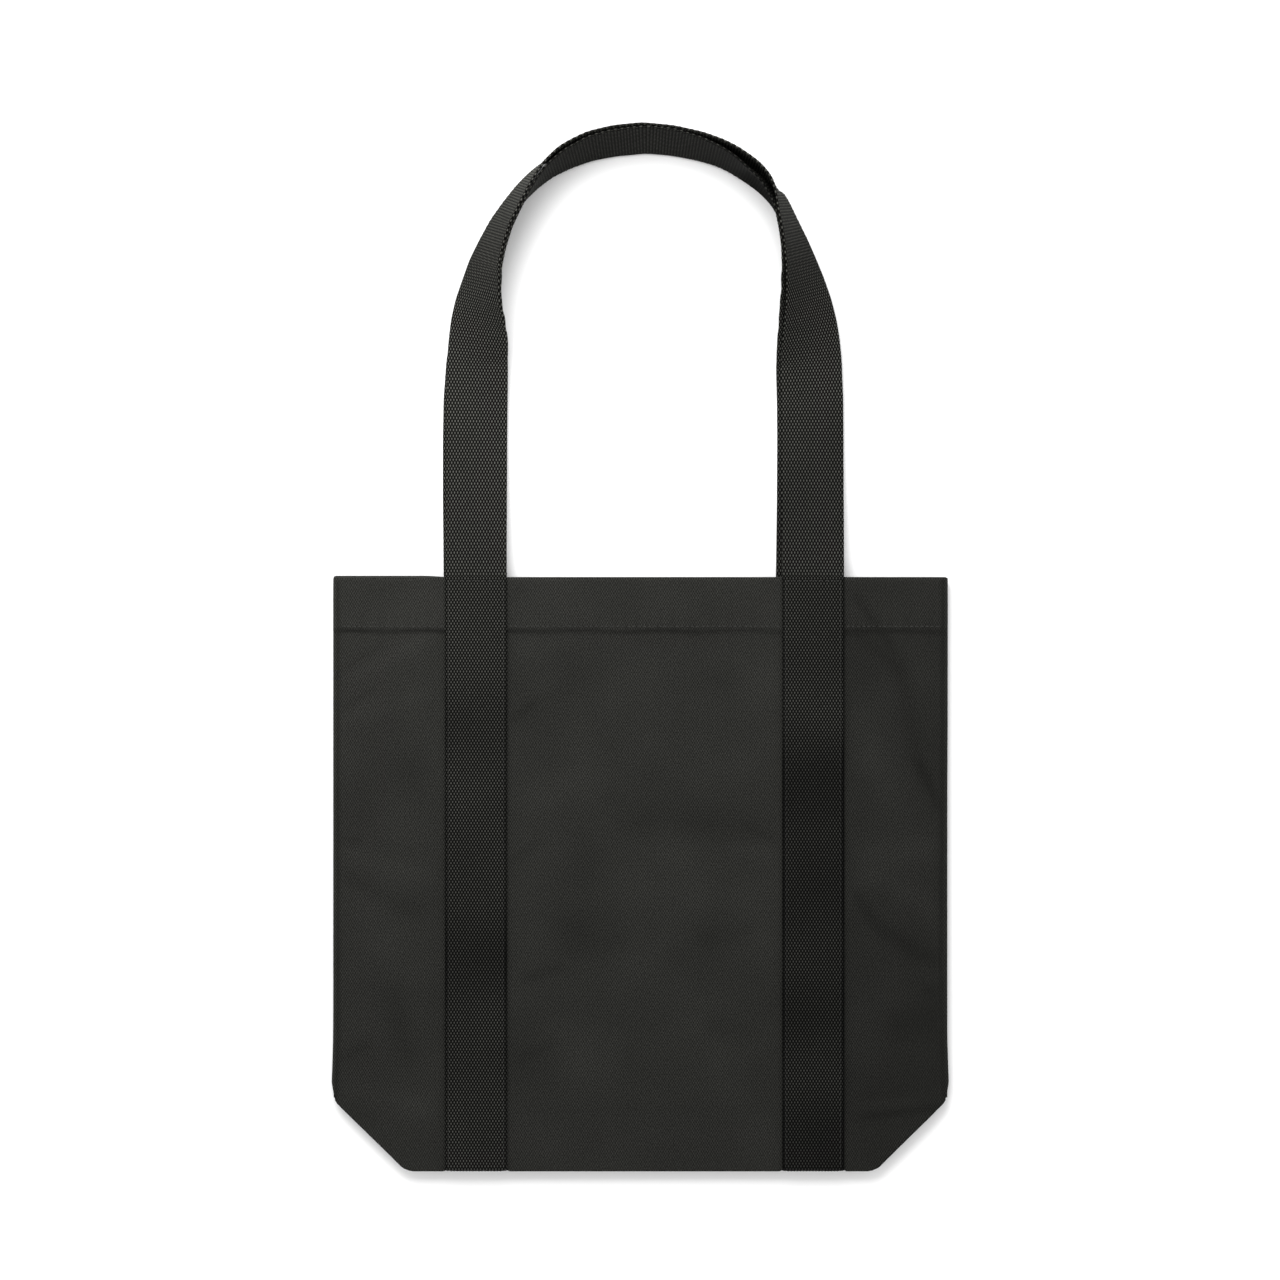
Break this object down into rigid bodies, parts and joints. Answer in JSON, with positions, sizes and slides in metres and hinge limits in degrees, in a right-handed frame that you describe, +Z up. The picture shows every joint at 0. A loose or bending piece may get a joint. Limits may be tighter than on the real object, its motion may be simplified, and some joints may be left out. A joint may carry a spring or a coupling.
{
  "type": "canvas tote bag",
  "caption": "Flat-laid canvas tote bag with a boxed base folded inwards and webbing carrying loops that rest in an upright arch.",
  "frame": {"origin": "on the floor, in the middle of the whole outline, handles included", "axes": "+X across the bag, +Y from the base towards the handles, +Z up from the floor on which the bag lies on its back"},
  "size_m": [0.3802, 0.647, 0.0382],
  "materials": {
    "canvas": "matte",
    "hem_canvas": "matte",
    "overlock": "matte",
    "webbing": "matte",
    "thread": "matte"
  },
  "bodies": {
    "back": {"back_panel": "canvas", "back_hem_facing": "hem_canvas", "back_hem_stitches": "thread", "back_strap_left": "webbing", "back_strap_right": "webbing", "back_strap_stitches_left": "thread", "back_strap_stitches_right": "thread", "base_gusset": "canvas", "base_strap_left": "webbing", "base_strap_right": "webbing", "corner_seam_left": "overlock", "corner_seam_right": "overlock", "corner_fold_front_left": "canvas", "corner_fold_front_right": "canvas", "corner_fold_back_left": "canvas", "corner_fold_back_right": "canvas", "side_seam_left": "overlock", "side_seam_right": "overlock"},
    "front": {"front_panel": "canvas", "front_hem_facing": "hem_canvas", "front_hem_stitches": "thread", "front_strap_left": "webbing", "front_strap_right": "webbing", "front_strap_stitches_left": "thread", "front_strap_stitches_right": "thread"},
    "front_handle": {"front_handle": "webbing"},
    "back_handle": {"back_handle": "webbing"}
  },
  "joints": [
    {"name": "mouth_open", "type": "hinge", "parent": "back", "child": "front", "pos_m": [0, -0.3235, 0.0071], "axis": [1, 0, 0], "range_deg": [0, 6]},
    {"name": "front_handle_swing", "type": "hinge", "parent": "front", "child": "front_handle", "pos_m": [0, 0.0435, 0.0152], "axis": [1, 0, 0], "range_deg": [0, 170]},
    {"name": "back_handle_swing", "type": "hinge", "parent": "back", "child": "back_handle", "pos_m": [0, 0.0435, -0.001], "axis": [1, 0, 0], "range_deg": [-170, 0]}
  ]
}
